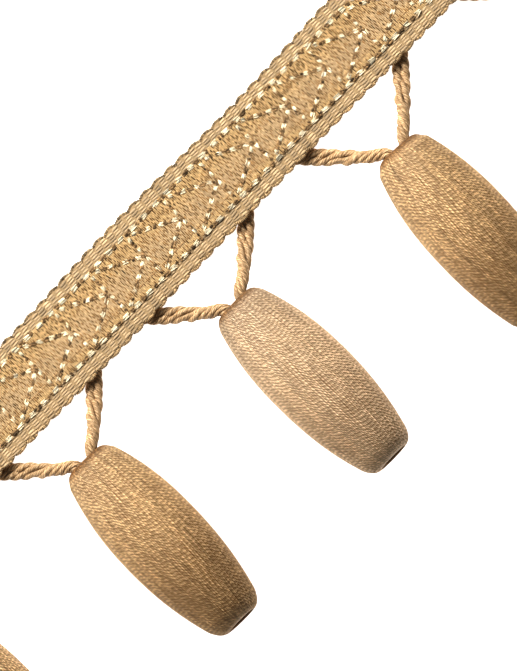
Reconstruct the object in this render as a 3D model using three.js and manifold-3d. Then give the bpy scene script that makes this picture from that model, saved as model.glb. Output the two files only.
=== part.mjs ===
// A bead fringe trim, lying face up: a woven braid heading with scalloped edges and a zigzag of raised
// thread, and barrel beads wound with yarn, each hung from the heading's back by two doubled, twisted cords.
// Millimetres, +Z up. X runs along the heading and the beads lie towards -Y. The origin is on the heading's
// flat back, in the middle of its length, and everything rests on the plane z = 0.
import * as THREE from "three";
import { mergeVertices } from "three/addons/utils/BufferGeometryUtils.js";
import Module from "manifold-3d";

const wasm = await Module();
wasm.setup();

// The repeat: the length holds a whole number of beads, edge scallops and zigzag cells.
const BEAD_PITCH = 61.5;
const BEAD_COUNT = 5;
const SCALLOPS_PER_BEAD = 13;
const CELL_COUNT = 21;
const LENGTH = BEAD_PITCH * BEAD_COUNT;
const SCALLOP_PITCH = BEAD_PITCH / SCALLOPS_PER_BEAD;
const CELL_PITCH = LENGTH / CELL_COUNT;

// The heading's width, from its upper edge to its lower edge: border, panel, border.
const EDGE_TOP = 5.0;
const TOP_BORDER = 4.4;
const PANEL = 16.0;
const LOW_BORDER = 5.4;
const LINE_TOP = EDGE_TOP - TOP_BORDER;
const LINE_LOW = LINE_TOP - PANEL;
const EDGE_LOW = LINE_LOW - LOW_BORDER;

// The braid's thickness, its ribs and its raised threads.
const CLOTH = 1.8;
const RIB = 0.3;
const SCALLOP_DEPTH = 0.95;
const EDGE_ROLL = 1.2;
const THREAD_WIDE = 1.15;
const THREAD_HIGH = 0.42;
const THREAD_SUNK = 0.5;
const LAP = 0.7;
const LAP_DIP = 0.4;

// The zigzag's cells are counted from a thread that is just outside the left end.
const ZIGZAG_START = 6.9 - 11 * CELL_PITCH;
const SLANT_START = 0.8;

// The braid lies flat along its upper part and climbs over the cord ends sewn behind its lower part.
const FLAT_TO = -3.0;
const RISE = 3.0;
const RISE_STEPS = 3;

// The cord: two strands side by side, and the rope that they become on the way to a bead.
const STRAND = 2.6;
const WAIST = 0.85;
const ROPE = { wide: 4.5, mouth: 3.5 };
const CORD_SIDES = 8;
const CORD_STEPS = 20;
const FLOOR_GAP = 0.05;

// The barrel bead: how far its ends draw in, its rounded rim, and the hole that the cords go into.
const WIDEST_AT = 0.484;
const DRAWN_IN = { near: 5.3, far: 5.5 };
const BARREL_POWER = 2.2;
const HOLE = 4.2;
const HOLE_DEPTH = 8.0;
const FUNNEL = { depth: 2.3, near: 5.8, far: 5.0 };
const BEAD_SIDES = 24;
const BARREL_STEPS = 6;
const SHOULDER = { depth: 2.6, near: 0.3, far: 0.9 };
const BEAD_LIFT = 4.0;
const FLAT_SPOT = 0.22;
const LUMP = 0.012;

// One row for each bead, from the left. shift is how far its mouth is from its even place along X, drop how
// far it is below the origin, yaw how far it is turned sideways in degrees, and left and right are where its
// cords leave the heading, on either side of the mouth. lumps is where its three faint swells begin.
const BEADS = [
  { shift: -1.5, drop: 35.1, yaw: -2.2, wide: 25.1, long: 62.0, left: 18.3, right: 18.9, lumps: 0.4 },
  { shift: 1.05, drop: 34.9, yaw: -1.55, wide: 25.2, long: 62.6, left: 18.4, right: 18.0, lumps: 1.7 },
  { shift: -0.2, drop: 34.6, yaw: -0.2, wide: 24.9, long: 62.0, left: 18.2, right: 19.3, lumps: 3.1 },
  { shift: 0.75, drop: 37.5, yaw: -4.2, wide: 25.7, long: 62.4, left: 18.8, right: 19.2, lumps: 4.4 },
  { shift: 2.5, drop: 35.6, yaw: -0.8, wide: 25.3, long: 62.2, left: 18.1, right: 18.7, lumps: 5.6 },
];

// The way of a cord leg, from its sewn end behind the heading to inside the bead. Its first rows are placed
// from where it leaves the heading, out being away from the bead. The next run from there to the mouth, as
// shares of the way across, down and up. The last are inside the mouth, side being off the bead's axis.
const LEG_SEWN = [
  { out: 6.7, y: -12.2, z: 0.72 },
  { out: 3.9, y: -16.2, z: 1.25 },
  { out: 0.2, y: -20.6, z: 1.2 },
];
const LEG_FREE = [
  { across: 0.24, down: 0.26, up: 0.11 },
  { across: 0.5, down: 0.52, up: 0.42 },
  { across: 0.76, down: 0.77, up: 0.75 },
];
const LEG_INSIDE = [
  { side: 3.15, deep: -0.6 },
  { side: 2.15, deep: 2.2 },
  { side: 1.95, deep: 6.0 },
];
const TURN_OF = { left: 0.08, right: 0.06 };
const TURN_FROM = 0.3;
const SEWN_FLAT = 0.56;
const PRESSED_TO = 0.44;

const YARN = new THREE.Color(0.62, 0.43, 0.24);
const GOLD = new THREE.Color(0.66, 0.47, 0.27);

const clamp01 = (v) => Math.min(1, Math.max(0, v));
const smooth = (v) => clamp01(v) ** 2 * (3 - 2 * clamp01(v));

// The places across the heading's width where it bends as it climbs over the cord ends.
const BENDS = [];
for (let i = 0; i <= RISE_STEPS; i++) {
  BENDS.push(FLAT_TO + ((LINE_LOW - FLAT_TO) * i) / RISE_STEPS);
}

// The height of the heading's back at a place across its width, straight between the bends.
function backHeight(y) {
  const along = clamp01((FLAT_TO - y) / (FLAT_TO - LINE_LOW)) * RISE_STEPS;
  const bend = Math.min(Math.floor(along), RISE_STEPS - 1);
  const before = smooth(bend / RISE_STEPS);
  const after = smooth((bend + 1) / RISE_STEPS);
  return RISE * (before + (after - before) * (along - bend));
}

// Moves every point of a geometry to where the function puts it.
function reshape(geometry, place) {
  const points = geometry.getAttribute("position");
  const v = new THREE.Vector3();
  for (let i = 0; i < points.count; i++) {
    place(v.fromBufferAttribute(points, i));
    points.setXYZ(i, v.x, v.y, v.z);
  }
  geometry.computeVertexNormals();
  return geometry;
}

function solidOf(geometry) {
  const bare = geometry.clone().deleteAttribute("normal").deleteAttribute("uv");
  const merged = mergeVertices(bare, 1e-4);
  return new wasm.Manifold(
    new wasm.Mesh({
      numProp: 3,
      vertProperties: merged.getAttribute("position").array,
      triVerts: new Uint32Array(merged.index.array),
    }),
  );
}

function geometryOf(solid) {
  const mesh = solid.getMesh();
  const geometry = new THREE.BufferGeometry();
  geometry.setAttribute("position", new THREE.BufferAttribute(mesh.vertProperties, mesh.numProp));
  geometry.setIndex(new THREE.BufferAttribute(mesh.triVerts, 1));
  geometry.computeVertexNormals();
  return geometry;
}

// The slow bow of the upper and lower edges, as uneven as the woven braid.
const bowOfTop = (x) => 0.45 * Math.cos((x + 6) / 14.5) - 0.1 * Math.sin(x / 31);
const bowOfLow = (x) => 0.16 * Math.sin(x / 22) + 0.08 * Math.cos(x / 9.5);

// How far an edge stands in from its scallops' crests: nought at a crest and deepest in the valleys.
function scallop(x, seed) {
  const turn = x / SCALLOP_PITCH;
  const uneven = 1 + 0.18 * Math.sin(2.3 * Math.round(turn) + seed);
  return SCALLOP_DEPTH * uneven * (1 - Math.abs(Math.sin(Math.PI * (turn + 0.5))) ** 0.6);
}

const ALONG_X = new THREE.Matrix4().makeBasis(
  new THREE.Vector3(0, 1, 0),
  new THREE.Vector3(0, 0, 1),
  new THREE.Vector3(1, 0, 0),
);

// A length of a section given as places across the width and heights.
function lengthOf(section, steps) {
  const shape = new THREE.Shape(section.map(([y, z]) => new THREE.Vector2(y, z)));
  const strip = new THREE.ExtrudeGeometry(shape, { depth: LENGTH, steps, bevelEnabled: false });
  strip.translate(0, 0, -LENGTH / 2);
  return strip.applyMatrix4(ALONG_X);
}

// A border of the braid: ribbed across, rolled thin at its scalloped outer edge, with a long thread laid
// along its inner edge, and lapped into the panel.
function border(line, outer, bow, seed) {
  const out = Math.sign(outer - line);
  const back = backHeight(outer);
  const face = back + CLOTH;
  const columns = 4 * BEAD_COUNT * SCALLOPS_PER_BEAD;
  const section = [
    [line - out * LAP, back],
    [outer, back],
    [outer - out * EDGE_ROLL, face],
    [line + (out * THREAD_WIDE) / 2, face],
    [line, face + THREAD_HIGH],
    [line - out * LAP, face - LAP_DIP],
  ];
  return reshape(lengthOf(section, columns), (v) => {
    if (Math.abs(v.y - outer) > EDGE_ROLL + 0.01) return;
    const column = Math.round(((v.x + LENGTH / 2) / LENGTH) * columns);
    v.y += bow(v.x) - out * scallop(v.x, seed);
    v.z += v.z > back ? RIB * (column % 2) : 0;
  });
}

// The panel between the borders, bent over the cord ends, with its two sides lapped into them.
function panel() {
  const across = [LINE_TOP, ...BENDS];
  const backs = across.map((y) => [y, backHeight(y)]);
  const faces = across.map((y) => [y, backHeight(y) + CLOTH]);
  backs.push([LINE_LOW - LAP, RISE + LAP_DIP]);
  faces.push([LINE_LOW - LAP, RISE + CLOTH - LAP_DIP]);
  return lengthOf([...backs.reverse(), ...faces], 1);
}

// One raised thread on the panel, a low ridge from one place to another that follows the panel's bends.
function raisedThread(x0, y0, x1, y1) {
  const low = Math.min(y0, y1);
  const high = Math.max(y0, y1);
  const between = BENDS.filter((y) => y > low && y < high).sort((a, b) => (b - a) * Math.sign(y0 - y1));
  const stops = [y0, ...between, y1].map((y) => (y - y0) / (y1 - y0));
  const steps = stops.length - 1;
  const side = new THREE.Vector2(y1 - y0, x0 - x1).normalize();
  return reshape(new THREE.CylinderGeometry(1, 1, 1, 3, steps), (v) => {
    const share = stops[Math.round((v.y + 0.5) * steps)];
    const offset = (v.x * THREAD_WIDE) / Math.sqrt(3);
    const y = y0 + (y1 - y0) * share;
    const height = v.z > 0 ? THREAD_HIGH * v.z : THREAD_SUNK * 2 * v.z;
    v.set(x0 + (x1 - x0) * share + side.x * offset, y + side.y * offset, backHeight(y) + CLOTH + height);
  });
}

// The zigzag between the two long threads: a cross thread at each cell, and two slanting ones that meet in
// the middle of the next.
function zigzag() {
  const middle = (LINE_TOP + LINE_LOW) / 2;
  const threads = [];
  for (let cell = 0; cell < CELL_COUNT; cell++) {
    const x = ZIGZAG_START + CELL_PITCH * cell;
    if (cell > 0) {
      threads.push(raisedThread(x, LINE_TOP, x, LINE_LOW));
    }
    threads.push(raisedThread(x + SLANT_START, LINE_TOP, x + CELL_PITCH, middle));
    threads.push(raisedThread(x + SLANT_START, LINE_LOW, x + CELL_PITCH, middle));
  }
  return threads;
}

function heading() {
  const pieces = [
    panel(),
    border(LINE_TOP, EDGE_TOP, bowOfTop, 0.6),
    border(LINE_LOW, EDGE_LOW, bowOfLow, 2.1),
    ...zigzag(),
  ].map(solidOf);
  return geometryOf(pieces.reduce((whole, piece) => whole.add(piece)));
}

// A bead's radius at a distance from its mouth, along the barrel.
function barrel(bead, s) {
  const widest = WIDEST_AT * bead.long;
  const near = s < widest;
  const share = near ? (widest - s) / widest : (s - widest) / (bead.long - widest);
  return bead.wide / 2 - (near ? DRAWN_IN.near : DRAWN_IN.far) * share ** BARREL_POWER;
}

// The profile of one end, from the bottom of its hole over the rim to the shoulder, as radius and depth.
function rim(funnel, shoulder) {
  return [
    [0, HOLE_DEPTH],
    [HOLE, HOLE_DEPTH],
    [HOLE + 0.2, FUNNEL.depth],
    [funnel, 0.15],
    [shoulder - 0.95, 0.15],
    [shoulder, 1.1],
  ];
}

// A wound bead with its mouth at the origin and its far end towards -Y, lifted, and lying on its flat spot.
// Gives its geometry and the height of its mouth.
function woundBead(bead) {
  const near = rim(FUNNEL.near, barrel(bead, 1.1) - SHOULDER.near);
  const far = rim(FUNNEL.far, barrel(bead, bead.long - 1.1) - SHOULDER.far);
  const profile = near.map(([r, s]) => new THREE.Vector2(r, -s));
  for (let i = 0; i <= BARREL_STEPS; i++) {
    const s = SHOULDER.depth + ((bead.long - 2 * SHOULDER.depth) * i) / BARREL_STEPS;
    profile.push(new THREE.Vector2(barrel(bead, s), -s));
  }
  profile.push(...far.map(([r, s]) => new THREE.Vector2(r, s - bead.long)).reverse());
  const turned = new THREE.LatheGeometry(profile.reverse(), BEAD_SIDES, Math.PI / BEAD_SIDES);
  reshape(turned, (v) => {
    const angle = Math.atan2(v.z, v.x);
    const outer = smooth((Math.hypot(v.x, v.z) - HOLE) / 4);
    const swell = 1 + LUMP * outer * Math.cos(3 * angle + bead.lumps + v.y / 14);
    v.x *= swell;
    v.z *= swell;
  });
  turned.rotateX(-THREE.MathUtils.degToRad(BEAD_LIFT));
  turned.computeBoundingBox();
  const mouthHeight = -turned.boundingBox.min.z - FLAT_SPOT;
  reshape(turned, (v) => {
    v.z = Math.max(v.z + mouthHeight, 0);
  });
  return { geometry: turned, mouthHeight };
}

// The centre line of a cord leg, on the left (-1) or right (1) of a bead.
function legPath(bead, mouth, axis, hand) {
  const root = hand < 0 ? bead.left : bead.right;
  const leaves = new THREE.Vector3(mouth.x + hand * root, EDGE_LOW, LEG_SEWN[2].z);
  const arrives = new THREE.Vector3(mouth.x + hand * LEG_INSIDE[0].side, mouth.y, mouth.z);
  const sewn = LEG_SEWN.map((p) => new THREE.Vector3(leaves.x + hand * p.out, p.y, p.z));
  const free = LEG_FREE.map(
    (p) =>
      new THREE.Vector3(
        leaves.x + (arrives.x - leaves.x) * p.across,
        leaves.y + (arrives.y - leaves.y) * p.down,
        leaves.z + (arrives.z - leaves.z) * p.up,
      ),
  );
  const aside = new THREE.Vector3(0, 0, 1).cross(axis).normalize().multiplyScalar(-1);
  const inside = LEG_INSIDE.map((p) =>
    mouth.clone().addScaledVector(axis, p.deep).addScaledVector(aside, -hand * p.side),
  );
  return new THREE.CatmullRomCurve3([...sewn, ...free, ...inside], false, "centripetal");
}

// A doubled cord: a section of two strands that turns a little along the leg, is pressed flat where it is
// sewn, and is laid into one round rope that narrows where it goes into the bead.
function cordLeg(bead, mouth, axis, hand) {
  const path = legPath(bead, mouth, axis, hand);
  const turns = hand < 0 ? TURN_OF.left : TURN_OF.right;
  const tube = new THREE.CylinderGeometry(1, 1, 1, CORD_SIDES, CORD_STEPS);
  const up = new THREE.Vector3(0, 0, 1);
  return reshape(tube, (v) => {
    const share = v.y + 0.5;
    const angle = Math.atan2(v.x, v.z);
    const centre = path.getPointAt(share);
    const ahead = path.getTangentAt(share);
    const across = up.clone().cross(ahead).normalize();
    const over = ahead.clone().cross(across);
    const drawn = smooth((share - 0.35) / 0.4);
    const rope = ROPE.wide + (ROPE.mouth - ROPE.wide) * smooth((share - 0.55) / 0.3);
    const pressed = 1 - (1 - SEWN_FLAT) * (1 - smooth(share / PRESSED_TO));
    const pair = (STRAND / 2) * (WAIST + (2 - WAIST) * Math.cos(angle) ** 2);
    const radius = (pair * (1 - drawn) + (rope / 2) * drawn) * Math.hypot(v.x, v.z);
    const turned = angle - 2 * Math.PI * turns * smooth((share - TURN_FROM) / (1 - TURN_FROM));
    v.copy(centre)
      .addScaledVector(across, radius * Math.cos(turned))
      .addScaledVector(over, radius * Math.sin(turned) * pressed);
    v.z = Math.max(v.z, FLOOR_GAP);
  });
}

const trim = new THREE.Group();

function addPiece(name, geometry, colour, roughness) {
  const material = new THREE.MeshStandardMaterial({ color: colour, roughness, metalness: 0 });
  const mesh = new THREE.Mesh(geometry, material);
  mesh.name = name;
  trim.add(mesh);
  return mesh;
}

addPiece("heading", heading(), GOLD, 0.8);

BEADS.forEach((bead, i) => {
  const { geometry, mouthHeight } = woundBead(bead);
  const x = (i - (BEAD_COUNT - 1) / 2) * BEAD_PITCH + bead.shift;
  const yaw = THREE.MathUtils.degToRad(bead.yaw);
  const lift = THREE.MathUtils.degToRad(BEAD_LIFT);
  const mesh = addPiece(`bead_${i + 1}`, geometry, YARN, 0.7);
  mesh.position.set(x, -bead.drop, 0);
  mesh.rotation.z = yaw;
  const mouth = new THREE.Vector3(x, -bead.drop, mouthHeight);
  const axis = new THREE.Vector3(
    Math.sin(yaw) * Math.cos(lift),
    -Math.cos(yaw) * Math.cos(lift),
    Math.sin(lift),
  );
  addPiece(`cord_${i + 1}_left`, cordLeg(bead, mouth, axis, -1), YARN, 0.8);
  addPiece(`cord_${i + 1}_right`, cordLeg(bead, mouth, axis, 1), YARN, 0.8);
});

export default trim;
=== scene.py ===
import math

import bpy
import numpy as np
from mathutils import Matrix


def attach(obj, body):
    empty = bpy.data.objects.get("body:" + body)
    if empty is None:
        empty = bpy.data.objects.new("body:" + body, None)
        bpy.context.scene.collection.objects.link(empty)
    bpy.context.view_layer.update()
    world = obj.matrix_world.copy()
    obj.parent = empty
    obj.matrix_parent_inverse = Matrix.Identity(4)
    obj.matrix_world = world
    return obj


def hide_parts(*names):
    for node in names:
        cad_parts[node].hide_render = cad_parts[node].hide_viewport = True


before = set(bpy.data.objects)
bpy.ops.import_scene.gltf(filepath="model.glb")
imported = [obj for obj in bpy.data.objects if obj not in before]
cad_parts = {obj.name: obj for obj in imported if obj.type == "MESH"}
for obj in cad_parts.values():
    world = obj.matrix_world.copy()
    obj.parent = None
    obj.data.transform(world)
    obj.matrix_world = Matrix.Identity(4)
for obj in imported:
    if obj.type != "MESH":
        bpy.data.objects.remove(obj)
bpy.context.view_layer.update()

# The braid's ground. It is a flat woven tape of dull cotton yarn, about 25 mm wide, that carries the satin
# threads of the face. It lies flat along its upper part, and climbs over the cord ends sewn behind its
# lower part. All sizes are in millimetres until a mesh is made.
BEAD_PITCH = 61.5
BEAD_COUNT = 5
SCALLOPS_PER_BEAD = 13
SCALLOP_PITCH = BEAD_PITCH / SCALLOPS_PER_BEAD
LENGTH = BEAD_PITCH * BEAD_COUNT
EDGE_TOP = 5.0
LINE_TOP = 0.6
LINE_LOW = -15.4
EDGE_LOW = -20.8
GROUND = 1.4
RISE_FROM = -3.0
RISE = 3.0
SCALLOP_DEPTH = 0.85
EDGE_THICK = 0.35
EDGE_ROUND = 1.1
PANEL_SINKS = 0.8
GROUND_COLUMNS = 12 * SCALLOPS_PER_BEAD * BEAD_COUNT
GROUND_ROWS = 34
BACK_ROWS = 10
rng = np.random.default_rng(46)


def eased(v):
    """A smooth step that starts at 0 and ends at 1."""
    v = np.clip(v, 0.0, 1.0)
    return v * v * (3.0 - 2.0 * v)


def back_height(y):
    return RISE * eased((RISE_FROM - y) / (RISE_FROM - LINE_LOW))


def face_height(y):
    return back_height(y) + GROUND


def scallop_in(x, seed):
    """How far the edge comes in from the scallops' tops, each scallop a little different."""
    turn = x / SCALLOP_PITCH
    uneven = 1.0 + 0.18 * np.sin(2.3 * np.round(turn) + seed)
    return SCALLOP_DEPTH * uneven * (1.0 - np.abs(np.cos(math.pi * turn)) ** 0.8)


def top_edge(x):
    bow = 0.45 * np.cos((x + 6.0) / 14.5) - 0.1 * np.sin(x / 31.0)
    return EDGE_TOP + bow - scallop_in(x, 0.6)


def low_edge(x):
    bow = 0.16 * np.sin(x / 22.0) + 0.08 * np.cos(x / 9.5)
    return EDGE_LOW + bow + scallop_in(x, 2.1)


def cells(grid):
    """The four corners of each cell of a grid, in order round the cell."""
    return np.stack([grid[:-1, :-1], grid[1:, :-1], grid[1:, 1:], grid[:-1, 1:]], axis=2)


def piece(name, points, faces, material, values=None, lay=None):
    """A mesh from points in millimetres, with values at its points and the lay at its face corners."""
    mesh = bpy.data.meshes.new(name)
    mesh.from_pydata((np.asarray(points) * 0.001).tolist(), [], faces)
    for key, numbers in (values or {}).items():
        attribute = mesh.attributes.new(key, "FLOAT", "POINT")
        attribute.data.foreach_set("value", np.asarray(numbers, dtype=np.float32).ravel())
    if lay is not None:
        corners = mesh.uv_layers.new(name="lay")
        corners.data.foreach_set("uv", np.asarray(lay, dtype=np.float32).ravel())
    mesh.polygons.foreach_set("use_smooth", [True] * len(mesh.polygons))
    mesh.materials.append(material)
    made = bpy.data.objects.new(name, mesh)
    bpy.context.collection.objects.link(made)
    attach(made, "root")
    return made


def thread_shade_group():
    """Colour of a yarn: painted shade in the gaps between yarns, where the crest is low; a tone that differs
    from yarn to yarn and in places also carries painted shade and painted light; and flecks.
    """
    group = bpy.data.node_groups.new("thread shade", "ShaderNodeTree")
    for socket, kind, start in (
        ("Yarn", "NodeSocketColor", (0.6, 0.4, 0.2, 1.0)),
        ("Gap", "NodeSocketColor", (0.2, 0.1, 0.05, 1.0)),
        ("Spread", "NodeSocketFloat", 0.25),
        ("Crest From", "NodeSocketFloat", 0.0),
        ("Crest To", "NodeSocketFloat", 0.6),
        ("Fleck", "NodeSocketFloat", 0.8),
    ):
        made = group.interface.new_socket(socket, in_out="INPUT", socket_type=kind)
        made.default_value = start
    group.interface.new_socket("Colour", in_out="OUTPUT", socket_type="NodeSocketColor")
    nodes, links = group.nodes, group.links
    given, out = nodes.new("NodeGroupInput"), nodes.new("NodeGroupOutput")
    crest, tone = nodes.new("ShaderNodeAttribute"), nodes.new("ShaderNodeAttribute")
    crest.attribute_name, tone.attribute_name = "crest", "tone"
    ramp = nodes.new("ShaderNodeMapRange")
    links.new(crest.outputs["Fac"], ramp.inputs["Value"])
    links.new(given.outputs["Crest From"], ramp.inputs["From Min"])
    links.new(given.outputs["Crest To"], ramp.inputs["From Max"])
    centred = nodes.new("ShaderNodeMath")
    centred.operation = "SUBTRACT"
    centred.inputs[1].default_value = 0.5
    links.new(tone.outputs["Fac"], centred.inputs[0])
    scaled = nodes.new("ShaderNodeMath")
    scaled.operation = "MULTIPLY_ADD"
    scaled.inputs[2].default_value = 1.0
    links.new(centred.outputs[0], scaled.inputs[0])
    links.new(given.outputs["Spread"], scaled.inputs[1])
    fleck = nodes.new("ShaderNodeTexNoise")
    fleck.inputs["Scale"].default_value = 2400.0
    fleck.inputs["Detail"].default_value = 1.0
    place = nodes.new("ShaderNodeTexCoord")
    links.new(place.outputs["Object"], fleck.inputs["Vector"])
    flecked = nodes.new("ShaderNodeMapRange")
    flecked.inputs["From Min"].default_value = 0.35
    flecked.inputs["From Max"].default_value = 0.6
    flecked.inputs["To Max"].default_value = 1.0
    links.new(fleck.outputs["Fac"], flecked.inputs["Value"])
    links.new(given.outputs["Fleck"], flecked.inputs["To Min"])
    both = nodes.new("ShaderNodeMath")
    both.operation = "MULTIPLY"
    links.new(scaled.outputs[0], both.inputs[0])
    links.new(flecked.outputs["Result"], both.inputs[1])
    least = nodes.new("ShaderNodeMath")
    least.operation = "MAXIMUM"
    least.inputs[1].default_value = 0.2
    links.new(both.outputs[0], least.inputs[0])
    # The gap colour, mixed in where the crest is low, is painted shade between yarns.
    mixed = nodes.new("ShaderNodeMix")
    mixed.data_type = "RGBA"
    links.new(ramp.outputs["Result"], mixed.inputs["Factor"])
    links.new(given.outputs["Gap"], mixed.inputs["A"])
    links.new(given.outputs["Yarn"], mixed.inputs["B"])
    bright = nodes.new("ShaderNodeVectorMath")
    bright.operation = "SCALE"
    links.new(mixed.outputs["Result"], bright.inputs[0])
    links.new(least.outputs[0], bright.inputs["Scale"])
    links.new(bright.outputs["Vector"], out.inputs["Colour"])
    return group


thread_shade = thread_shade_group()


def yarn_material(name, yarn, gap, spread, roughness, crest=(0.0, 0.6), fleck=0.8):
    """A yarn's material, its colour from the thread shade."""
    material = bpy.data.materials.new(name)
    material.use_nodes = True
    nodes, links = material.node_tree.nodes, material.node_tree.links
    shader = nodes["Principled BSDF"]
    shade = nodes.new("ShaderNodeGroup")
    shade.node_tree = thread_shade
    shade.inputs["Yarn"].default_value = (*yarn, 1.0)
    shade.inputs["Gap"].default_value = (*gap, 1.0)
    shade.inputs["Spread"].default_value = spread
    shade.inputs["Crest From"].default_value = crest[0]
    shade.inputs["Crest To"].default_value = crest[1]
    shade.inputs["Fleck"].default_value = fleck
    links.new(shade.outputs["Colour"], shader.inputs["Base Color"])
    shader.inputs["Roughness"].default_value = roughness
    shader.inputs["Specular IOR Level"].default_value = 0.35
    return material


ground_cotton = yarn_material("ground cotton", (0.55, 0.39, 0.215), (0.35, 0.23, 0.12), 0.0, 0.9, (0.5, 1.0))
columns = np.linspace(-LENGTH / 2, LENGTH / 2, GROUND_COLUMNS + 1)
bend = np.cos(math.pi * np.linspace(0.0, 1.0, GROUND_ROWS))
down, along = np.meshgrid(0.5 - 0.5 * bend * np.abs(bend) ** -0.3, columns)
reach = top_edge(along) - low_edge(along)
front_y = top_edge(along) - reach * down
inset = np.clip(np.minimum(down, 1.0 - down) * reach / EDGE_ROUND, 0.0, 1.0)
front_z = back_height(front_y) + EDGE_THICK + (GROUND - EDGE_THICK) * np.sqrt(1.0 - (1.0 - inset) ** 2)
back_down, back_along = np.meshgrid(np.linspace(1.0, 0.0, BACK_ROWS), columns)
back_y = top_edge(back_along) - (top_edge(back_along) - low_edge(back_along)) * back_down
ring_x = np.concatenate([along, back_along], axis=1)
ring_y = np.concatenate([front_y, back_y], axis=1)
ring_z = np.concatenate([front_z, back_height(back_y)], axis=1)
ring = ring_x.shape[1]
grid = np.arange((GROUND_COLUMNS + 1) * ring).reshape(GROUND_COLUMNS + 1, ring)
closed = np.concatenate([grid, grid[:, :1]], axis=1)
faces = cells(closed).reshape(-1, 4).tolist() + [grid[0].tolist(), grid[-1][::-1].tolist()]
points = np.stack([ring_x, ring_y, ring_z], axis=-1).reshape(-1, 3)
# The ground takes its gap colour under the panel, where it shows only deep between the warps, and along the
# rolled rims of its edges: painted shade.
in_panel = eased((LINE_TOP - front_y) / PANEL_SINKS) * eased((front_y - LINE_LOW) / PANEL_SINKS)
crest = np.concatenate([inset * (1.0 - in_panel), np.ones_like(back_y)], axis=1)
ground = piece("braid_ground", points, faces, ground_cotton, {"crest": crest, "tone": crest * 0.0 + 0.5})
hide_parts("heading")

# The borders' weft floats. Satin yarn is woven over and under in columns two to a scallop, so that short
# level floats stand beside each other like bricks, each a little off its neighbour.
FLOAT_ROW = 0.82
FLOAT_LONG = 2.55
FLOAT_WIDE = 0.84
FLOAT_HIGH = 0.16
FLOAT_SUNK = 0.04
COLUMN_PITCH = SCALLOP_PITCH / 2
COLUMN_TONES = (0.25, 0.75)
PANEL_TOP = LINE_TOP + 0.5
PANEL_LOW = LINE_LOW - 0.45
PICOT = 0.95
UPPER_OVERLAP = 0.1
LOWER_OVERLAP = 0.35

# How a stitch swells: places along it, from -1 at one tip to 1 at the other, and the share of its full size
# that it has there.
BLUNT = ((-0.7, 0.78), (0.0, 1.0), (0.7, 0.78))
ROUNDED = ((-0.9, 0.66), (-0.3, 1.0), (0.3, 1.0), (0.9, 0.66))
DIVING = ((-0.82, 0.45), (-0.5, 0.82), (0.0, 1.0), (0.5, 0.82), (0.82, 0.45))


def grains(name, middle, ahead, long, wide, high, tone, material, stations=BLUNT):
    """Short plump stitches lying on the braid's face, each with its middle, direction and sizes."""
    count = len(middle)
    arc = np.radians([180.0, 135.0, 90.0, 45.0, 0.0])
    shape = [(-1.0, 0.0, 0.0)]
    shape += [(t, w * math.cos(a), w * math.sin(a)) for t, w in stations for a in arc]
    shape += [(1.0, 0.0, 0.0)]
    shape = np.array(shape)
    last = 5 * len(stations) - 4
    faces = [(0, i + 1, i + 2) for i in range(4)]
    for first in range(1, last, 5):
        faces += [(first + i, first + 5 + i, first + 6 + i, first + 1 + i) for i in range(4)]
    faces += [(last + i, last + 5, last + 1 + i) for i in range(4)]
    middle, ahead = np.asarray(middle, float), np.asarray(ahead, float)
    ahead = ahead / np.linalg.norm(ahead, axis=1, keepdims=True)
    side = np.cross((0.0, 0.0, 1.0), ahead)
    long, wide, high = (np.broadcast_to(v, count)[:, None] for v in (long, wide, high))
    points = middle[:, None, :] + ahead[:, None, :] * (shape[:, 0] * long / 2)[..., None]
    points = points + side[:, None, :] * (shape[:, 1] * wide / 2)[..., None]
    points[..., 2] += shape[:, 2] * high + back_height(points[..., 1]) - back_height(middle[:, 1:2])
    all_faces = []
    for start in range(0, count * len(shape), len(shape)):
        all_faces += [tuple(start + i for i in face) for face in faces]
    # The crest is low at each stitch's sides and tips, so the gap colour paints shade round its base.
    crest = np.tile(shape[:, 2], count)
    tone = np.repeat(np.broadcast_to(tone, count), len(shape))
    made = piece(name, points.reshape(-1, 3), all_faces, material, {"crest": crest, "tone": tone})
    return made


border_satin = yarn_material("border satin", (0.63, 0.465, 0.28), (0.54, 0.39, 0.225), 0.4, 0.55, (0.0, 0.8))
float_middles, float_tones = [], []
for column in range(round(LENGTH / COLUMN_PITCH)):
    x = -LENGTH / 2 + COLUMN_PITCH * (column + 0.5)
    offset = FLOAT_ROW / 2 * (column % 2)
    upper = np.arange(PANEL_TOP + offset, top_edge(x) - PICOT + UPPER_OVERLAP, FLOAT_ROW)
    lower = np.arange(PANEL_LOW - offset, low_edge(x) + PICOT - LOWER_OVERLAP, -FLOAT_ROW)
    for y in np.concatenate([upper, lower]):
        float_middles.append((x, y, face_height(y) - FLOAT_SUNK))
        float_tones.append(COLUMN_TONES[column % 2])
float_middles = np.array(float_middles)
many = len(float_middles)
float_middles += rng.normal(0.0, 1.0, (many, 3)) * (0.1, 0.05, 0.03)
float_ahead = np.stack([np.ones(many), rng.normal(0.0, 0.06, many), np.zeros(many)], axis=-1)
floats = grains(
    "border_floats",
    float_middles,
    float_ahead,
    FLOAT_LONG * rng.uniform(0.9, 1.12, many),
    FLOAT_WIDE * rng.uniform(0.7, 1.1, many),
    FLOAT_HIGH * rng.uniform(0.85, 1.15, many),
    np.array(float_tones) + rng.normal(0.0, 0.35, many),
    border_satin,
    DIVING,
)
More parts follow.
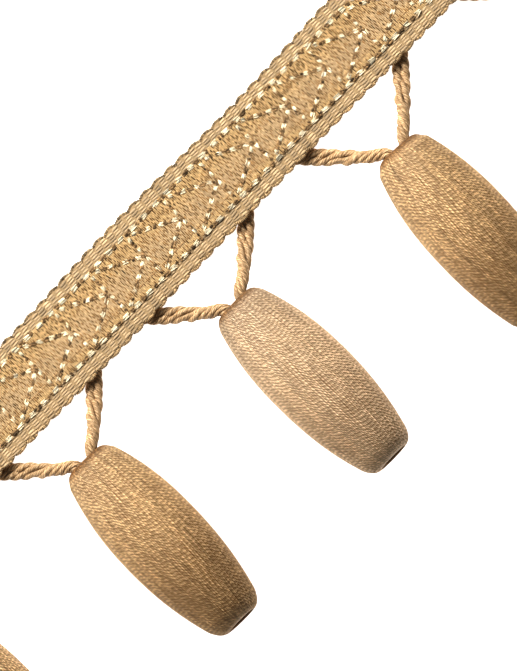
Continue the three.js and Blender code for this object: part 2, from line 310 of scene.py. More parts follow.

# The scalloped edges. At each scallop the weft turns round the edge and back in, and the turns lie side by
# side in a fan of small loops. Their tone is raised as painted light, for the lower edge faces away from the
# lights, and the upper edge's loops are made much darker and browner as painted shade, for they face the
# lights.
LOOPS = 11
LOOP_LONG = 1.25
LOOP_WIDE = 0.56
LOOP_HIGH = 0.5
LOOP_FROM_EDGE = 0.44
LOOP_LIES_AT = 0.92
LOOP_FAN = 1.5
LOOP_PAINTED_LIGHT = 0.8
UPPER_PAINTED_SHADE = 1.3
LOOP_JITTER = 0.03
END_MARGIN = 0.3
picot_satin = yarn_material("picot satin", (0.62, 0.45, 0.25), (0.36, 0.235, 0.115), 0.5, 0.6, (0.1, 0.9))
loop_middles, loop_ahead, loop_tones = [], [], []
half_count = SCALLOPS_PER_BEAD * BEAD_COUNT // 2
for number in range(-half_count, half_count + 1):
    middle_x = SCALLOP_PITCH * number
    for edge, way in ((top_edge, 1.0), (low_edge, -1.0)):
        for i in range(LOOPS):
            swing = (i + 0.5) / LOOPS - 0.5
            x = middle_x + SCALLOP_PITCH * swing
            if abs(x) > LENGTH / 2 - END_MARGIN:
                continue
            y = float(edge(x)) - way * LOOP_FROM_EDGE
            loop_middles.append((x, y, back_height(y) + LOOP_LIES_AT))
            loop_ahead.append((math.sin(swing * LOOP_FAN), way * math.cos(swing * LOOP_FAN), 0.0))
            # Lower loops painted lighter and upper loops painted darker: painted light and painted shade.
            loop_tones.append(LOOP_PAINTED_LIGHT - UPPER_PAINTED_SHADE * (way > 0.0))
loop_middles, loop_ahead = np.array(loop_middles), np.array(loop_ahead)
many = len(loop_middles)
loop_middles += rng.normal(0.0, 1.0, (many, 3)) * LOOP_JITTER
loops = grains(
    "edge_loops",
    loop_middles,
    loop_ahead + rng.normal(0.0, 0.06, (many, 3)) * (1.0, 1.0, 0.0),
    LOOP_LONG * rng.uniform(0.94, 1.06, many),
    LOOP_WIDE * rng.uniform(0.9, 1.1, many),
    LOOP_HIGH * rng.uniform(0.85, 1.1, many),
    np.array(loop_tones) + rng.normal(0.0, 0.4, many),
    picot_satin,
    ROUNDED,
)

# The panel between the borders. Fine satin warps stand upright across it, half a millimetre apart, tight
# against each other, and dive under the borders' floats. Between two warps the ground shows in short slits,
# in staggered rows; each slit is a dark brown piece laid on the face, painted shade for the deep gap.
WARPS = 615
WARPS_LONG = LENGTH - 0.6
WARP_LIES_AT = 0.02
WARP_HIGH = 0.2
PANEL_ROWS = 30
DIVE_LONG = 0.9
DIVE_DEEP = 0.08
SLOPE_PAINTED_SHADE = 2.6
SLITS_A_WARP = 5
SLIT_STAGGER = 0.47
SLIT_MARGIN = 0.6
SLIT_LIES_AT = 0.2
SLIT_HIGH = 0.09


def slow_waves(count, run, least, most):
    """A slow random wave along the run for each of a number of yarns, from -1 to 1."""
    waves = np.zeros((len(run), count))
    for _ in range(3):
        length, start = rng.uniform(least, most, count), rng.uniform(0.0, 2 * math.pi, count)
        waves += np.sin(2 * math.pi * run[:, None] / length + start) / 3
    return waves


def ply_twist_group():
    """Height and tint of a yarn's two plies, from its lay: yarns across, millimetres along. The tint is
    painted shade in the plies' hollows and painted highlight on their tops.
    """
    group = bpy.data.node_groups.new("ply twist", "ShaderNodeTree")
    for socket, start in (("Ply Long", 1.5), ("Slant", -1.0), ("Waver", 0.3), ("Uneven", 0.7)):
        made = group.interface.new_socket(socket, in_out="INPUT", socket_type="NodeSocketFloat")
        made.default_value = start
    for socket, start in (("Hollow", (0.4, 0.3, 0.2, 1.0)), ("Top", (1.45, 1.45, 1.45, 1.0))):
        made = group.interface.new_socket(socket, in_out="INPUT", socket_type="NodeSocketColor")
        made.default_value = start
    group.interface.new_socket("Height", in_out="OUTPUT", socket_type="NodeSocketFloat")
    group.interface.new_socket("Tint", in_out="OUTPUT", socket_type="NodeSocketColor")
    nodes, links = group.nodes, group.links
    given, out = nodes.new("NodeGroupInput"), nodes.new("NodeGroupOutput")

    def sum_of(kind, *values):
        node = nodes.new("ShaderNodeMath")
        node.operation = kind
        for place, value in enumerate(values):
            if isinstance(value, (int, float)):
                node.inputs[place].default_value = value
            else:
                links.new(value, node.inputs[place])
        return node.outputs[0]

    def at(kind, across, along):
        """A 2D noise or white noise over the lay."""
        place = nodes.new("ShaderNodeCombineXYZ")
        links.new(across, place.inputs["X"])
        links.new(along, place.inputs["Y"])
        noise = nodes.new(kind)
        noise.noise_dimensions = "2D"
        links.new(place.outputs["Vector"], noise.inputs["Vector"])
        return noise

    lay = nodes.new("ShaderNodeUVMap")
    lay.uv_map = "lay"
    parts = nodes.new("ShaderNodeSeparateXYZ")
    links.new(lay.outputs["UV"], parts.inputs[0])
    across, number = sum_of("FRACT", parts.outputs["X"]), sum_of("FLOOR", parts.outputs["X"])
    dice = nodes.new("ShaderNodeTexWhiteNoise")
    dice.noise_dimensions = "1D"
    links.new(number, dice.inputs["W"])
    waver = at("ShaderNodeTexNoise", parts.outputs["X"], parts.outputs["Y"])
    waver.inputs["Scale"].default_value = 0.9
    waver.inputs["Detail"].default_value = 1.0
    turns = sum_of("DIVIDE", parts.outputs["Y"], given.outputs["Ply Long"])
    started = sum_of("MULTIPLY_ADD", dice.outputs["Value"], 17.0, turns)
    slanted = sum_of("MULTIPLY_ADD", across, given.outputs["Slant"], started)
    wavered = sum_of("MULTIPLY_ADD", waver.outputs["Fac"], given.outputs["Waver"], slanted)
    height = sum_of("ABSOLUTE", sum_of("SINE", sum_of("MULTIPLY", wavered, math.pi)))
    links.new(height, out.inputs["Height"])
    chance = at("ShaderNodeTexWhiteNoise", number, sum_of("FLOOR", wavered)).outputs["Value"]
    proud = sum_of("MULTIPLY_ADD", sum_of("SUBTRACT", chance, 0.5), given.outputs["Uneven"], 0.75)
    tint = nodes.new("ShaderNodeMix")
    tint.data_type = "RGBA"
    links.new(sum_of("MULTIPLY", sum_of("POWER", height, 1.3), proud), tint.inputs["Factor"])
    links.new(given.outputs["Hollow"], tint.inputs["A"])
    links.new(given.outputs["Top"], tint.inputs["B"])
    links.new(tint.outputs["Result"], out.inputs["Tint"])
    return group


ply_twist = ply_twist_group()


def twisted_material(name, yarn, gap, spread, crest, depth, twist, hollow):
    """A plied yarn's material: the plies' tint paints shade and highlight on it, and the plies stand out in
    the bump.
    """
    material = yarn_material(name, yarn, gap, spread, 0.48, crest)
    nodes, links = material.node_tree.nodes, material.node_tree.links
    shader = nodes["Principled BSDF"]
    plies = nodes.new("ShaderNodeGroup")
    plies.node_tree = ply_twist
    for socket, value in twist.items():
        plies.inputs[socket].default_value = value
    plies.inputs["Hollow"].default_value = (*hollow, 1.0)
    bump = nodes.new("ShaderNodeBump")
    bump.inputs["Distance"].default_value = depth
    links.new(plies.outputs["Height"], bump.inputs["Height"])
    links.new(bump.outputs["Normal"], shader.inputs["Normal"])
    tinted = nodes.new("ShaderNodeVectorMath")
    tinted.operation = "MULTIPLY"
    links.new(shader.inputs["Base Color"].links[0].from_socket, tinted.inputs[0])
    links.new(plies.outputs["Tint"], tinted.inputs[1])
    links.new(tinted.outputs["Vector"], shader.inputs["Base Color"])
    return material


panel_satin = twisted_material(
    name="panel satin",
    yarn=(0.645, 0.46, 0.24),
    gap=(0.41, 0.265, 0.12),
    spread=0.4,
    crest=(0.0, 0.8),
    depth=0.00003,
    twist={"Ply Long": 1.6, "Slant": -0.2, "Uneven": 0.4},
    hollow=(1.02, 0.98, 0.93),
)
share = np.arange(WARPS * 3 + 1) / 3
within = share - np.floor(share)
warp = np.minimum(np.floor(share).astype(int), WARPS - 1)
panel_y = np.linspace(PANEL_TOP, PANEL_LOW, PANEL_ROWS)
rib = np.abs(np.sin(math.pi * within)) ** 0.7
astray = 0.4 * slow_waves(WARPS, -panel_y, 5.0, 20.0)[:, warp]
panel_x = (share / WARPS - 0.5) * WARPS_LONG + astray * (1.0 - rib) * LENGTH / WARPS * 0.5
dive = 1.0 - eased((panel_y - PANEL_LOW) / DIVE_LONG) * eased((PANEL_TOP - panel_y) / DIVE_LONG)
panel_z = face_height(panel_y)[:, None] + WARP_LIES_AT + WARP_HIGH * rib * (1.0 - dive[:, None])
panel_z -= DIVE_DEEP * dive[:, None]
grid = np.arange(PANEL_ROWS * len(share)).reshape(PANEL_ROWS, len(share))
# Where the panel climbs over the sewn cords it faces the lights, and its tone is lowered in step with the
# slope: painted shade. The rib's crest also paints shade between the warps.
steep = (back_height(panel_y - 0.2) - back_height(panel_y + 0.2)) / 0.4
lay = np.stack(np.broadcast_arrays(share[None, :], -panel_y[:, None]), axis=-1)
warps = piece(
    "panel_threads",
    np.stack([panel_x, np.broadcast_to(panel_y[:, None], panel_x.shape), panel_z], axis=-1).reshape(-1, 3),
    cells(grid).reshape(-1, 4).tolist(),
    panel_satin,
    {
        "crest": np.broadcast_to(rib, panel_x.shape),
        "tone": rng.normal(0.5, 0.1, WARPS)[warp] - SLOPE_PAINTED_SHADE * steep[:, None],
    },
    cells(lay),
)
# The slits' dark brown is painted shade for the ground seen deep in the gaps between warps.
slit_painted_shade = yarn_material("slit painted shade", (0.22, 0.115, 0.035), (0.18, 0.09, 0.03), 0.7, 0.9, fleck=0.7)
many = SLITS_A_WARP * WARPS
slit_warp = np.arange(many) % WARPS
slit_row = np.arange(many) // WARPS + slit_warp * SLIT_STAGGER % 1.0
slit_x = (slit_warp / WARPS - 0.5) * WARPS_LONG
slit_y = LINE_TOP - SLIT_MARGIN - slit_row / SLITS_A_WARP * (LINE_TOP - LINE_LOW - 2 * SLIT_MARGIN)
slit_y += rng.normal(0.0, 0.5, many)
slits = grains(
    "panel_slits",
    np.stack([slit_x, slit_y, face_height(slit_y) + SLIT_LIES_AT], axis=-1),
    np.stack([rng.normal(0.04, 0.06, many), -np.ones(many), np.zeros(many)], axis=-1),
    rng.uniform(0.8, 2.2, many),
    rng.uniform(0.24, 0.38, many),
    SLIT_HIGH,
    rng.normal(0.5, 0.4, many),
    slit_painted_shade,
)

# The metallic thread. A flat gold thread is worked over the panel in running stitches: two long lines, a
# cross line at each cell, and two slanting lines that meet in the middle of the next. Between the bright
# stitches it dives under the satin, and only a short length of it shows, low down; that length is the same
# thread made dark brown, painted shade for where it lies low beside the stitches.
CELL_COUNT = 21
CELL_PITCH = LENGTH / CELL_COUNT
ZIGZAG_START = 6.9 - 11 * CELL_PITCH
LINE_STITCH = {"pitch": SCALLOP_PITCH, "long": 2.65, "wide": 1.3}
CROSS_STITCH = {"pitch": 3.75, "long": 1.75, "wide": 0.95}
SLANT_STITCH = {"pitch": 3.9, "long": 1.9, "wide": 1.2}
SUNK_FOUND = 0.9
STRAND_OVERLAP = 1.3
DULL_STRANDS = 0.15
gold_thread = yarn_material("gold thread", (0.94, 0.83, 0.6), (0.62, 0.45, 0.25), 0.5, 0.5, fleck=0.6)
# The sunk thread is the gold thread again, made dark: painted shade.
gold_thread_painted_shade = yarn_material("sunk gold thread painted shade", (0.33, 0.21, 0.1), (0.16, 0.1, 0.048), 0.6, 0.8, fleck=0.5)
bright, sunk = [], []


def running_stitches(start, end, first, pitch, long, wide):
    """Bright stitches and sunk lengths between them, along a line on the panel: place, way and sizes."""
    start, end = np.array(start), np.array(end)
    run = float(np.linalg.norm(end - start))
    way = (end - start) / run
    at = first
    while at - long / 2 < run:
        if -0.3 < at < run + 0.3:
            bright.append((*(start + way * at), *way, long, wide))
        for way_off in (-1.0, 1.0):
            gap = at + pitch / 2 + way_off * rng.uniform(0.15, 0.85)
            if 0.0 < gap < run and rng.random() < SUNK_FOUND:
                sunk_long, sunk_wide = rng.uniform(0.8, 1.5), wide * rng.uniform(0.7, 1.0)
                sunk.append((*(start + way * gap), *way, sunk_long, sunk_wide))
        at += pitch + rng.normal(0.0, 0.06)


half = LENGTH / 2 - 0.2
for line in (LINE_TOP - 0.2, LINE_LOW - 0.2):
    running_stitches((-half, line), (half, line), 2.0, **LINE_STITCH)
middle_line = (LINE_TOP + LINE_LOW) / 2
for cell in range(CELL_COUNT):
    x = ZIGZAG_START + CELL_PITCH * cell
    tip = x + CELL_PITCH - 0.5
    if cell:
        running_stitches((x, LINE_TOP - 0.9), (x, LINE_LOW + 0.7), 1.15, **CROSS_STITCH)
    running_stitches((x + 1.3, LINE_TOP - 1.0), (tip, middle_line + 0.25), 1.25, **SLANT_STITCH)
    running_stitches((x + 1.3, LINE_LOW + 0.8), (tip, middle_line - 0.35), 1.2, **SLANT_STITCH)


def laid_thread(name, rows, strands, lift, high, material, spread):
    """Stitches of a few flat strands lying side by side."""
    rows = np.array(rows)
    middles, aheads, longs, tones = [], [], [], []
    for strand in range(strands):
        off = (strand - (strands - 1) / 2) / strands
        across = np.stack([-rows[:, 3], rows[:, 2]], axis=-1)
        spot = rows[:, 0:2] + across * (off * rows[:, 5])[:, None]
        spot = spot + rows[:, 2:4] * rng.normal(0.0, 0.16, len(rows))[:, None]
        height = face_height(spot[:, 1]) + lift + rng.normal(0.0, 0.06, len(rows))
        middles.append(np.concatenate([spot, height[:, None]], axis=1))
        turn = rng.normal(0.0, 0.09, len(rows))
        aheads.append(
            np.stack([rows[:, 2] - turn * rows[:, 3], rows[:, 3] + turn * rows[:, 2], turn * 0.0], axis=-1)
        )
        longs.append(rows[:, 4] * rng.uniform(0.7, 1.08, len(rows)))
        tones.append(rng.normal(0.75, spread, len(rows)) - 1.0 * (rng.random(len(rows)) < DULL_STRANDS))
    wide = np.tile(rows[:, 5] / strands * STRAND_OVERLAP, strands)
    return grains(
        name,
        np.concatenate(middles),
        np.concatenate(aheads),
        np.concatenate(longs),
        wide,
        high,
        np.concatenate(tones),
        material,
    )


gold = laid_thread("gold_stitches", bright, 4, lift=0.11, high=0.24, material=gold_thread, spread=0.4)
dark = laid_thread("sunk_stitches", sunk, 2, lift=0.2, high=0.22, material=gold_thread_painted_shade, spread=0.5)

# The sewing line. One line of machine stitches runs the length of the braid through its lower part, and
# holds the cord ends behind it: a fine thread pulled down into the satin.
SEW_Y = -12.75
SEW_STITCH = 2.3
SEW_LIES_AT = 0.16
SEW_WIDE = 0.3
SEW_HIGH = 0.16
sewing_thread = yarn_material("sewing thread", (0.5, 0.31, 0.14), (0.2, 0.1, 0.04), 0.3, 0.6)
sew_x = np.arange(-LENGTH / 2 + 1.2, LENGTH / 2 - 1.0, SEW_STITCH)
sew_y = SEW_Y - 0.25 * np.sin(sew_x / 70.0)
many = len(sew_x)
sewing = grains(
    "sewing_line",
    np.stack([sew_x, sew_y, face_height(sew_y) + SEW_LIES_AT], axis=-1),
    np.tile((1.0, 0.0, 0.0), (many, 1)),
    SEW_STITCH * 1.02,
    SEW_WIDE,
    SEW_HIGH,
    rng.normal(0.5, 0.2, many),
    sewing_thread,
)

# The wound beads. Each is a turned wooden barrel, wound lengthwise with a two-ply satin yarn that goes in at
# one mouth and out at the other, about 140 turns side by side, crowded where they go over the rims. It lies
# on its side, its far end a little raised.
YARNS = 140
RIB = 0.15
BARREL_POWER = 2.2
WIDEST_AT = 0.484
NEAR_DRAWN = 5.15
FAR_DRAWN = 5.05
# The winding's radius and distance from the end, through the lips and over the rims.
NEAR_LIP = ((4.2, 7.5), (4.25, 5.0), (4.4, 2.9), (4.65, 1.7), (4.95, 0.75), (5.4, 0.25), (5.95, 0.3))
NEAR_RIM = ((6.5, 0.65), (7.1, 1.2), (7.75, 2.05))
FAR_RIM = ((8.0, 2.45), (7.35, 1.45), (6.6, 0.75), (5.8, 0.3), (4.95, 0.1))
FAR_LIP = ((4.35, 0.2), (4.05, 0.6), (4.0, 1.5), (4.1, 3.0), (4.2, 5.0), (4.2, 7.5))
HOLE = 4.2
BODY_ROWS = 34
BEAD_ROWS = 96
BEAD_LIFT = math.radians(4.0)
FAR_FACE_LEANS = 0.05
FLAT_SPOT = 0.22
GROOVE_DEEP = 0.24
GOLDEN = np.array((0.75, 0.535, 0.29))
PALER = np.array((0.9, 0.7, 0.48))
GROOVE_SHADE = (0.38, 0.27, 0.15)
# Each bead's place beside its middle and below the heading, its turn in degrees, its width and length, how
# far out its legs start, where its slight lumps are, and how pale its yarn is.
BEADS = (
    dict(shift=-1.5, drop=35.1, yaw=-2.2, wide=25.1, long=62.0, left=18.3, right=18.9, lumps=0.4, pale=0.25),
    dict(shift=1.05, drop=34.9, yaw=-1.55, wide=25.2, long=62.6, left=18.4, right=18.0, lumps=1.7, pale=0.1),
    dict(shift=-0.2, drop=34.6, yaw=-0.2, wide=24.9, long=62.0, left=18.2, right=19.3, lumps=3.1, pale=1.0),
    dict(shift=0.75, drop=37.5, yaw=-4.2, wide=25.7, long=62.4, left=18.8, right=19.2, lumps=4.4, pale=0.1),
    dict(shift=2.5, drop=35.6, yaw=-0.8, wide=25.3, long=62.2, left=18.1, right=18.7, lumps=5.6, pale=0.5),
)


def barrel(bead, s):
    """The winding's radius at a distance from the mouth."""
    widest = WIDEST_AT * bead["long"]
    near = np.clip((widest - s) / widest, 0.0, 1.0) ** BARREL_POWER
    far = np.clip((s - widest) / (bead["long"] - widest), 0.0, 1.0) ** BARREL_POWER
    return bead["wide"] / 2 - NEAR_DRAWN * near - FAR_DRAWN * far


def bead_profile(bead):
    """Radius and distance from the mouth, from inside the near hole to inside the far one."""
    long = bead["long"]
    body = [(float(barrel(bead, s)), s) for s in np.linspace(3.1, long - 3.6, BODY_ROWS)]
    far = [(radius, long - s) for radius, s in (*FAR_RIM, *FAR_LIP)]
    rows = np.array([*NEAR_LIP, *NEAR_RIM, *body, *far])
    run = np.concatenate([[0.0], np.cumsum(np.hypot(*np.diff(rows, axis=0).T))])
    even = np.linspace(0.0, run[-1], BEAD_ROWS)
    return np.interp(even, run, rows[:, 0]), np.interp(even, run, rows[:, 1]), even


for number, bead in enumerate(BEADS, 1):
    pale = bead["pale"]
    yarn = GOLDEN + (PALER - GOLDEN) * pale
    wound_yarn = twisted_material(
        name=f"wound yarn {number}",
        yarn=yarn.tolist(),
        gap=(yarn * GROOVE_SHADE).tolist(),
        spread=0.34,
        crest=(0.0, 0.8),
        depth=0.0001,
        twist={"Ply Long": 1.2, "Slant": 0.7, "Waver": 0.6, "Uneven": 0.9 - 0.3 * pale},
        hollow=(0.5, 0.42, 0.33),
    )
    radius, s, run = bead_profile(bead)
    part = run / run[-1]
    near_half = run < run[-1] / 2
    share = np.arange(YARNS * 3 + 1) / 3
    yarn_number = np.floor(share).astype(int) % YARNS
    within = share - np.floor(share)
    strayed = 0.42 * slow_waves(YARNS, run, 9.0, 34.0)
    next_yarn = (yarn_number + 1) % YARNS
    astray = strayed[:, yarn_number] * (1.0 - within) + strayed[:, next_yarn] * within
    proud = 0.5 * rng.normal(0.0, 1.0, YARNS) + 0.8 * slow_waves(YARNS, run, 14.0, 50.0)
    tone = rng.normal(0.5, 0.2, YARNS) + 0.3 * slow_waves(YARNS, run, 8.0, 30.0)
    # The near rim faces the lights and painted shade dulls its yarn. Painted shade makes the far half
    # browner up to its own rim, and painted light lightens the far rim, which faces away from the lights.
    narrowing = np.clip((bead["wide"] / 2 - radius) / 4.45, 0.0, 1.2) ** 0.7 * near_half
    tone -= ((0.66 + 0.42 * pale) * narrowing)[:, None]
    tone -= ((0.25 - 0.25 * pale) * eased((part - 0.38) / 0.3))[:, None]
    tone += (1.0 - 0.55 * pale) * eased((part - 0.82) / 0.06)[:, None]
    # In places two turns part and leave a deeper groove, and near the mouths the turns crowd together.
    parted = eased(4.0 * slow_waves(YARNS, run, 20.0, 70.0) - 2.1)[:, yarn_number]
    deep = GROOVE_DEEP * parted * (within == 0.0)
    crowd = eased(np.abs(part - 0.5) * 2.6 - 0.55)[:, None]
    spiral = 0.12 * np.sin(bead["lumps"]) * (part - 0.5)
    angle = (share[None, :] + astray) / YARNS * 2 * math.pi + spiral[:, None]
    outer = eased((radius - HOLE) / 4.0)
    swell = 1.0 + 0.012 * outer[:, None] * np.cos(3.0 * angle + bead["lumps"] - s[:, None] / 14.0)
    rib = np.abs(np.sin(math.pi * within)) ** 0.8
    lift = rib * (RIB + proud[:, yarn_number] * (0.035 + 0.09 * crowd)) - deep * outer[:, None]
    full = radius[:, None] * swell + lift - RIB * 0.5
    x, z = full * np.sin(angle), -full * np.cos(angle)
    y = FAR_FACE_LEANS * z * eased((s - bead["long"] + 6.0) / 5.0)[:, None] - s[:, None]
    turned_y = y * math.cos(BEAD_LIFT) + z * math.sin(BEAD_LIFT)
    turned_z = -y * math.sin(BEAD_LIFT) + z * math.cos(BEAD_LIFT)
    mouth_height = -float(turned_z.min()) - FLAT_SPOT - RIB * 0.5
    bead["mouth_height"] = mouth_height
    bead["x"] = (number - 1 - (BEAD_COUNT - 1) / 2) * BEAD_PITCH + bead["shift"]
    yaw = math.radians(bead["yaw"])
    placed = np.stack(
        [
            bead["x"] + x * math.cos(yaw) - turned_y * math.sin(yaw),
            -bead["drop"] + x * math.sin(yaw) + turned_y * math.cos(yaw),
            np.maximum(turned_z + mouth_height, 0.0),
        ],
        axis=-1,
    )
    rows, sides = len(s), YARNS * 3
    grid = np.arange(rows * (sides + 1)).reshape(rows, sides + 1)
    grid[:, -1] = grid[:, 0]
    hole_ends = [grid[0, :-1][::-1].tolist(), grid[-1, :-1].tolist()]
    across, above = np.meshgrid(share + 0.001, run)
    lay = np.stack([across, above + 61.0 * number], axis=-1)
    # Painted shade in the crest: along the near rim, inside the holes, over the far half, and in the parted
    # grooves.
    crest_painted_shade = eased((8.7 - radius) / 2.8) * near_half + 1.8 * eased((4.4 - radius) / 0.25)
    crest_painted_shade = crest_painted_shade + (0.28 - 0.13 * pale) * eased((part - 0.35) / 0.35)
    crest = rib - crest_painted_shade[:, None] - 2.0 * deep
    wound = piece(
        f"wound_bead_{number}",
        placed.reshape(-1, 3),
        cells(grid).reshape(-1, 4).tolist() + hole_ends,
        wound_yarn,
        {"crest": crest, "tone": tone[:, yarn_number]},
        np.concatenate([cells(lay).reshape(-1, 2), np.zeros((2 * sides, 2))]),
    )
    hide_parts(f"bead_{number}")

# The cords. Each bead hangs on two legs, each of six plies of soft satin yarn. At the braid the plies lie
# in two strands side by side, sewn behind it and pressed flat there. Towards the bead they are laid into one
# round rope, which narrows as it goes into the bead's mouth.
STRAND_OUT = 1.0
STRAND_LAY = 9.5
STRAND_PLY = 0.8
STRAND_PLY_OUT = 0.74
STRAND_STAGGER = 0.17
PRESSED_FLATTER = 0.44
ROPE = {"wide": 4.5, "mouth": 3.5}
ROPE_LAY = 14.5
ROPE_STARTS = 0.55
ROPE_PLY_SHARE = 0.355
LEAST_HEIGHT = 0.05
LEG_STEPS = 110
PLY_SIDES = 12
# A leg's way: outward, along and up where it is sewn on, shares of the way to the mouth where it is free,
# and aside and deep inside the mouth.
SEWN = ((6.7, -12.2, 0.72), (3.9, -16.2, 1.25), (0.2, -20.6, 1.2))
FREE = ((0.24, 0.26, 0.11), (0.5, 0.52, 0.42), (0.76, 0.77, 0.75))
INSIDE = ((3.15, -0.6), (2.15, 2.2), (1.95, 6.0))
TURNS = {"left": 0.08, "right": 0.06}


def smooth_way(stops, count):
    """Points evenly along a smooth curve through the stops, and the direction at each."""
    stops = np.array(stops)
    stops = np.concatenate([[2 * stops[0] - stops[1]], stops, [2 * stops[-1] - stops[-2]]])
    knots = np.concatenate([[0.0], np.cumsum(np.linalg.norm(np.diff(stops, axis=0), axis=1) ** 0.5)])
    way = []
    for i in range(1, len(stops) - 2):
        t0, t1, t2, t3 = knots[i - 1 : i + 3]
        p0, p1, p2, p3 = stops[i - 1 : i + 3]
        t = np.linspace(t1, t2, 24, endpoint=False)[:, None]
        a1 = (t1 - t) / (t1 - t0) * p0 + (t - t0) / (t1 - t0) * p1
        a2 = (t2 - t) / (t2 - t1) * p1 + (t - t1) / (t2 - t1) * p2
        a3 = (t3 - t) / (t3 - t2) * p2 + (t - t2) / (t3 - t2) * p3
        b1 = (t2 - t) / (t2 - t0) * a1 + (t - t0) / (t2 - t0) * a2
        b2 = (t3 - t) / (t3 - t1) * a2 + (t - t1) / (t3 - t1) * a3
        way.append((t2 - t) / (t2 - t1) * b1 + (t - t1) / (t2 - t1) * b2)
    way = np.concatenate([*way, stops[-2:-1]])
    run = np.concatenate([[0.0], np.cumsum(np.linalg.norm(np.diff(way, axis=0), axis=1))])
    even = np.linspace(0.0, run[-1], count)
    points = np.stack([np.interp(even, run, way[:, k]) for k in range(3)], axis=-1)
    ahead = np.gradient(points, axis=0)
    return points, ahead / np.linalg.norm(ahead, axis=1, keepdims=True), even


cord_yarn = twisted_material(
    name="cord yarn",
    yarn=(0.56, 0.4, 0.235),
    gap=(0.43, 0.3, 0.175),
    spread=0.4,
    crest=(0.0, 0.65),
    depth=0.0001,
    twist={"Ply Long": 2.6, "Slant": 1.0, "Uneven": 0.8},
    hollow=(0.62, 0.53, 0.42),
)
for number, bead in enumerate(BEADS, 1):
    yaw = math.radians(bead["yaw"])
    mouth = np.array((bead["x"], -bead["drop"], bead["mouth_height"]))
    axis = np.array(
        (
            math.sin(yaw) * math.cos(BEAD_LIFT),
            -math.cos(yaw) * math.cos(BEAD_LIFT),
            math.sin(BEAD_LIFT),
        )
    )
    aside = np.cross(axis, (0.0, 0.0, 1.0))
    aside /= np.linalg.norm(aside)
    for hand, side in ((-1.0, "left"), (1.0, "right")):
        leaves = np.array((mouth[0] + hand * bead[side], EDGE_LOW, SEWN[2][2]))
        arrives = np.array((mouth[0] + hand * INSIDE[0][0], mouth[1], mouth[2]))
        stops = [(leaves[0] + hand * out, y, z) for out, y, z in SEWN]
        stops += [leaves + (arrives - leaves) * np.array(shares) for shares in FREE]
        stops += [mouth + axis * deep - aside * hand * off for off, deep in INSIDE]
        centre, ahead, run = smooth_way(stops, LEG_STEPS + 1)
        share = run / run[-1]
        across = np.cross((0.0, 0.0, 1.0), ahead)
        across /= np.linalg.norm(across, axis=1, keepdims=True)
        over = np.cross(ahead, across)
        drawn = eased((share - 0.35) / 0.4)
        rope = ROPE["wide"] + (ROPE["mouth"] - ROPE["wide"]) * eased((share - 0.55) / 0.3)
        ply_wide = STRAND_PLY * (1.0 - drawn) + ROPE_PLY_SHARE * rope / 2 * drawn
        pressed = 1.0 - PRESSED_FLATTER * (1.0 - eased(share / 0.44))
        pair_turn = -2 * math.pi * TURNS[side] * eased((share - 0.3) / 0.7)
        points, faces, crest, tone, lay = [], [], [], [], []
        first = 0
        for strand in range(2):
            for ply in range(3):
                swing = pair_turn + math.pi * strand
                lay_turn = swing - 2 * math.pi * (run / STRAND_LAY + ply / 3 + STRAND_STAGGER * strand)
                rope_turn = -2 * math.pi * (run - ROPE_STARTS * run[-1]) / ROPE_LAY
                rope_turn = rope_turn + math.pi * strand + (ply - 1) * math.pi / 3
                off = [
                    (STRAND_OUT * wave(swing) + STRAND_PLY_OUT * wave(lay_turn)) * (1.0 - drawn)
                    + (rope / 2 - ply_wide) * wave(rope_turn) * drawn
                    for wave in (np.cos, np.sin)
                ]
                middle = centre + across * off[0][:, None] + over * (off[1] * pressed)[:, None]
                forward = np.gradient(middle, axis=0)
                forward /= np.linalg.norm(forward, axis=1, keepdims=True)
                beside = np.cross(over, forward)
                beside /= np.linalg.norm(beside, axis=1, keepdims=True)
                upward = np.cross(forward, beside)
                turn = np.arange(PLY_SIDES + 1) / PLY_SIDES * 2 * math.pi
                plump = ply_wide * (1.0 + 0.05 * np.sin(run / 2.1 + 2.0 * ply + strand))
                tall = np.sin(turn)[None, :] * pressed[:, None]
                round_off = beside[:, None, :] * np.cos(turn)[None, :, None]
                round_off = round_off + upward[:, None, :] * tall[..., None]
                ring = middle[:, None, :] + round_off * plump[:, None, None]
                ring[..., 2] = np.maximum(ring[..., 2], LEAST_HEIGHT)
                grid = first + np.arange(ring.shape[0] * ring.shape[1]).reshape(ring.shape[:2])
                first = grid.max() + 1
                grid[:, -1] = grid[:, 0]
                faces += cells(grid).reshape(-1, 4).tolist()
                faces += [grid[0, :-1][::-1].tolist(), grid[-1, :-1].tolist()]
                points.append(ring.reshape(-1, 3))
                # The crest falls on the plies' inner sides, so the gap colour paints shade in the valleys
                # between them.
                outward = middle - centre
                outward /= np.linalg.norm(outward, axis=1, keepdims=True) + 1e-6
                crest.append((0.5 + 0.5 * np.sum(round_off * outward[:, None, :], axis=2)).ravel())
                tone.append(np.full(ring.shape[0] * ring.shape[1], 0.5 + rng.normal(0.0, 0.2)))
                wide, far = np.meshgrid(turn / (2 * math.pi) * 7.0, run)
                flat = np.stack([wide + 0.9 * far, far + 40.0 * number + 7.0 * ply], axis=-1)
                lay += [cells(flat).reshape(-1, 2), np.zeros((2 * PLY_SIDES, 2))]
        leg = piece(
            f"cord_leg_{number}_{side}",
            np.concatenate(points),
            faces,
            cord_yarn,
            {"crest": np.concatenate(crest), "tone": np.concatenate(tone)},
            np.concatenate(lay),
        )
        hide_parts(f"cord_{number}_{side}")

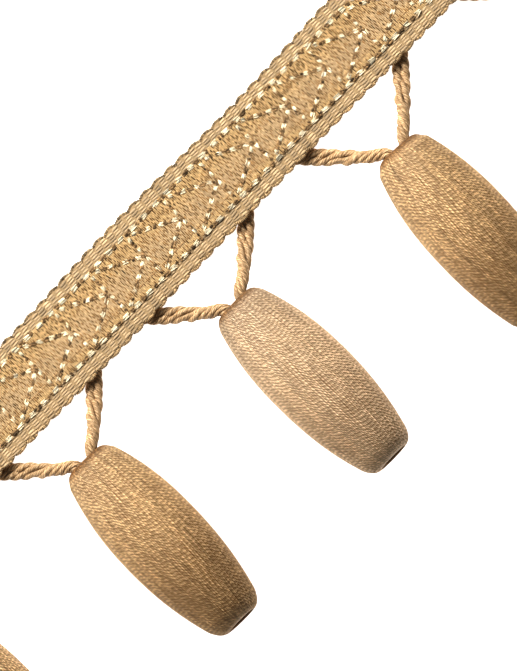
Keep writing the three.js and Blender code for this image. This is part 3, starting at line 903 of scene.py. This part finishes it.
# The table it lies on: a plain white sheet, a little lit from below as a light table is, and two wide soft
# lights, low over the heading's side.
LIGHT_SIDE = 32.0
LIGHT_UP = 29.0
LIGHT_WIDE = 0.45
LIGHT_POWER = 12.1
floor_paint = bpy.data.materials.new("pale floor")
floor_paint.use_nodes = True
floor_shader = floor_paint.node_tree.nodes["Principled BSDF"]
floor_shader.inputs["Base Color"].default_value = (0.88, 0.88, 0.88, 1.0)
floor_shader.inputs["Roughness"].default_value = 0.9
floor_shader.inputs["Emission Color"].default_value = (1.0, 1.0, 1.0, 1.0)
floor_shader.inputs["Emission Strength"].default_value = 0.92
bpy.ops.mesh.primitive_plane_add(size=12.0, location=(0.0, 0.0, -0.0001))
floor = bpy.context.object
floor.name = "floor"
floor.data.materials.append(floor_paint)

world = bpy.data.worlds.new("studio")
world.use_nodes = True
world.node_tree.nodes["Background"].inputs["Color"].default_value = (1.0, 1.0, 1.0, 1.0)
world.node_tree.nodes["Background"].inputs["Strength"].default_value = 0.15
bpy.context.scene.world = world


def soft_light(name, azimuth, elevation, size, power):
    """A square light a metre away that faces the trim. Its azimuth is counted from the heading's side."""
    data = bpy.data.lights.new(name, "AREA")
    data.size = size
    data.energy = power
    made = bpy.data.objects.new(name, data)
    level = math.cos(math.radians(elevation))
    made.location = (
        level * math.sin(math.radians(azimuth)),
        level * math.cos(math.radians(azimuth)) - 0.045,
        math.sin(math.radians(elevation)),
    )
    made.rotation_euler = (math.radians(90.0 - elevation), 0.0, math.radians(180.0 - azimuth))
    bpy.context.collection.objects.link(made)


soft_light("key left", -LIGHT_SIDE, LIGHT_UP, LIGHT_WIDE, LIGHT_POWER)
soft_light("key right", LIGHT_SIDE, LIGHT_UP, LIGHT_WIDE, LIGHT_POWER)

# The camera looks straight down at the trim, turned as the photograph is, so that the heading climbs from
# the lower left to the upper right.
LENS = 250.0
SENSOR = 36.0
VIEW_TALL = 0.1879
PHOTO_TURN = -46.2
camera_data = bpy.data.cameras.new("camera")
camera_data.lens = LENS
camera_data.sensor_width = SENSOR
camera_data.clip_end = 30.0
camera = bpy.data.objects.new("camera", camera_data)
camera.location = (-0.0019, -0.0459, 0.002 + VIEW_TALL * LENS / SENSOR)
camera.rotation_euler = (0.0, 0.0, math.radians(PHOTO_TURN))
bpy.context.collection.objects.link(camera)
bpy.context.scene.camera = camera
bpy.context.scene.view_settings.view_transform = "Standard"
bpy.context.scene.view_settings.gamma = 0.78
